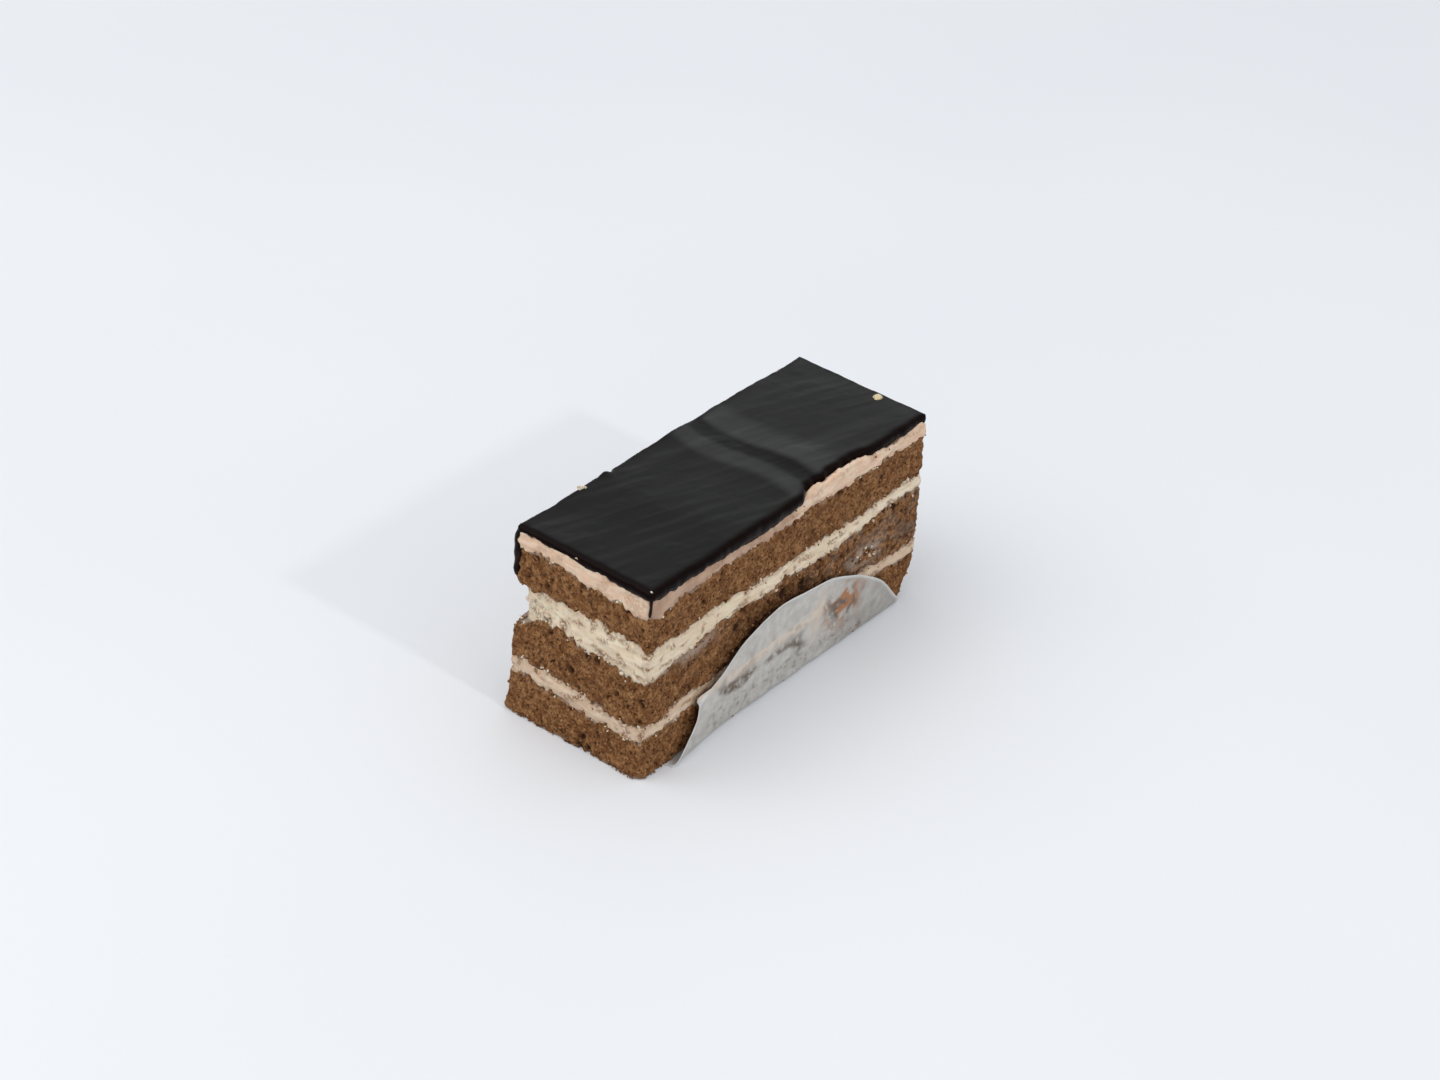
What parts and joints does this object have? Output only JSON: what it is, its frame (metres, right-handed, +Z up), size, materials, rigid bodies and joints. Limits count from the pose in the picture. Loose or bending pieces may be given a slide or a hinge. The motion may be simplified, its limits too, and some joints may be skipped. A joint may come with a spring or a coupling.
{
  "type": "chocolate cake slice",
  "caption": "Bar-shaped slice of layered chocolate sponge and buttercream under a dark glaze, standing on a thin greaseproof liner.",
  "frame": {"origin": "on the table, under the middle of the slice's and the liner's common box", "axes": "+X along the slice towards its far end, +Y across it away from the side with the bare strip of cream, +Z up"},
  "size_m": [0.1168, 0.048, 0.0562],
  "materials": {
    "sponge": "matte, open crumb",
    "cream": "satin, smeared",
    "glaze": "glossy, streaked by a palette knife",
    "liner": "thin, translucent, with grease and crumb stains"
  },
  "bodies": {
    "root": {"liner": "liner", "sponge_bottom": "sponge", "cream_lower": "cream", "sponge_middle": "sponge", "cream_middle": "cream", "sponge_top": "sponge", "cream_top": "cream", "glaze": "glaze"}
  },
  "joints": []
}
